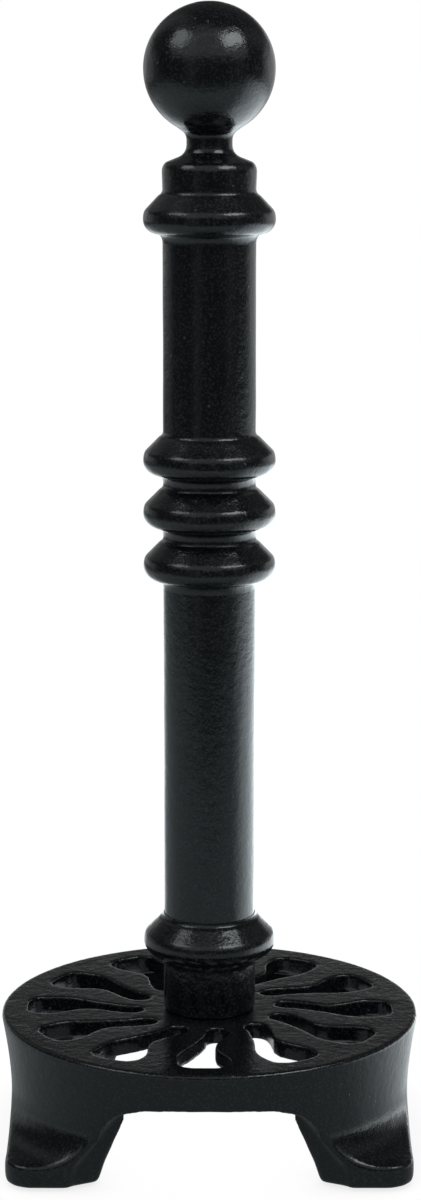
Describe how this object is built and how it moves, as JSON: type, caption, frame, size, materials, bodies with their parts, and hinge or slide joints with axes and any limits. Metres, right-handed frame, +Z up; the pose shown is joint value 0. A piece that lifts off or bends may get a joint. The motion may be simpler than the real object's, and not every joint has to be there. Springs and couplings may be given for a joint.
{
  "type": "kitchen roll stand",
  "caption": "Free-standing table-top roll stand shaped like a street bollard: a ball-topped, ringed post on a slotted round base that stands on splayed toes.",
  "frame": {"origin": "middle of the base, on the surface the stand rests on", "axes": "+Z up along the post's axis; the open arches of the base face -Y (front) and +Y (back)"},
  "size_m": [0.12, 0.12, 0.3233],
  "materials": {
    "enamel_iron": "gloss black enamel over cast iron",
    "enamel_steel": "gloss black enamel over steel tube",
    "zinc_steel": "bright zinc plate",
    "pad_rubber": "matte black rubber"
  },
  "bodies": {
    "root": {"base_casting": "enamel_iron", "hub_collar": "enamel_iron", "lower_tube": "enamel_steel", "ring_trio": "enamel_iron", "upper_tube": "enamel_steel", "cap_collar": "enamel_iron", "ball_finial": "enamel_iron", "tie_rod": "zinc_steel", "base_screw": "zinc_steel", "foot_pads": "pad_rubber"}
  },
  "joints": []
}
